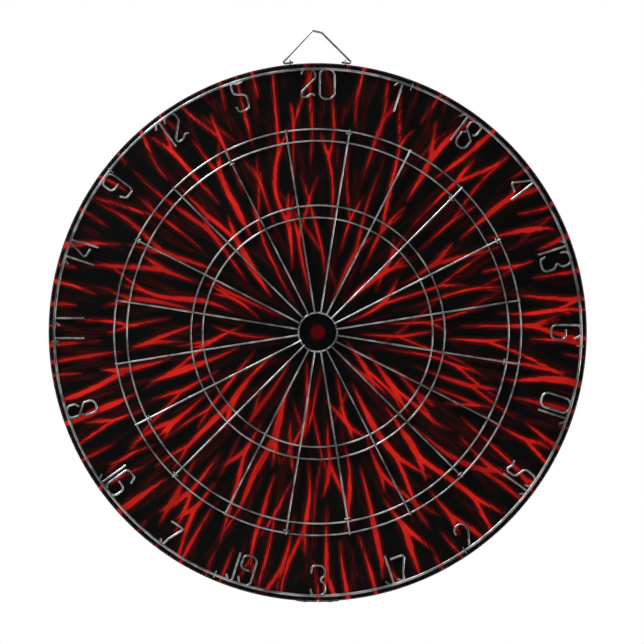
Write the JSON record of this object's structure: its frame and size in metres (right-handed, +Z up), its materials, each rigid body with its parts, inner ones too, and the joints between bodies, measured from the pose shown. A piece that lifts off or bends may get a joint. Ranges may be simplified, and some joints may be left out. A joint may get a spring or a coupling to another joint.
{
  "type": "dartboard",
  "caption": "Round steel-tip dartboard with a raised wire spider, a wire number ring that turns and a wire hanger that swings.",
  "frame": {"origin": "middle of the flat back face, on the line through the bull", "axes": "+Z up as the board hangs with 20 at the top, +Y out of the back into the wall, face towards -Y"},
  "size_m": [0.451, 0.0305, 0.4806],
  "materials": {
    "printed_face": "satin",
    "wound_paper": "matte",
    "hardboard": "matte",
    "bull": "satin",
    "band_paint": "satin",
    "wire_steel": "satin",
    "fixing_steel": "satin"
  },
  "bodies": {
    "board": {"back_panel": "hardboard", "band_nail_left": "fixing_steel", "band_nail_right": "fixing_steel", "band_strap": "band_paint", "board_core": "wound_paper", "bull_plug": "bull", "bull_ring": "wire_steel", "double_ring_inner": "wire_steel", "double_ring_outer": "wire_steel", "face_sheet": "printed_face", "hanger_staple_left": "fixing_steel", "hanger_staple_right": "fixing_steel", "number_ring_clip_1": "fixing_steel", "number_ring_clip_2": "fixing_steel", "number_ring_clip_3": "fixing_steel", "number_ring_clip_4": "fixing_steel", "number_ring_clip_5": "fixing_steel", "number_ring_clip_6": "fixing_steel", "rim_band": "band_paint", "spider_staple_1": "fixing_steel", "spider_staple_10": "fixing_steel", "spider_staple_11": "fixing_steel", "spider_staple_2": "fixing_steel", "spider_staple_3": "fixing_steel", "spider_staple_4": "fixing_steel", "spider_staple_5": "fixing_steel", "spider_staple_6": "fixing_steel", "spider_staple_7": "fixing_steel", "spider_staple_8": "fixing_steel", "spider_staple_9": "fixing_steel", "spoke_10_15": "wire_steel", "spoke_11_14": "wire_steel", "spoke_12_5": "wire_steel", "spoke_13_6": "wire_steel", "spoke_14_9": "wire_steel", "spoke_15_2": "wire_steel", "spoke_16_8": "wire_steel", "spoke_17_3": "wire_steel", "spoke_18_4": "wire_steel", "spoke_19_7": "wire_steel", "spoke_1_18": "wire_steel", "spoke_20_1": "wire_steel", "spoke_2_17": "wire_steel", "spoke_3_19": "wire_steel", "spoke_4_13": "wire_steel", "spoke_5_20": "wire_steel", "spoke_6_10": "wire_steel", "spoke_7_16": "wire_steel", "spoke_8_11": "wire_steel", "spoke_9_12": "wire_steel", "treble_ring_inner": "wire_steel", "treble_ring_outer": "wire_steel"},
    "number_ring": {"number_ring": "wire_steel"},
    "hanger": {"hanger_bail": "wire_steel"}
  },
  "joints": [
    {"name": "number_ring_turn", "type": "hinge", "parent": "board", "child": "number_ring", "pos_m": [0, -0.0269, 0], "axis": [0, 1, 0], "continuous": true},
    {"name": "hanger_swing", "type": "hinge", "parent": "board", "child": "hanger", "pos_m": [0, -0.0127, 0.226], "axis": [1, 0, 0], "range_deg": [-90, 90]}
  ]
}
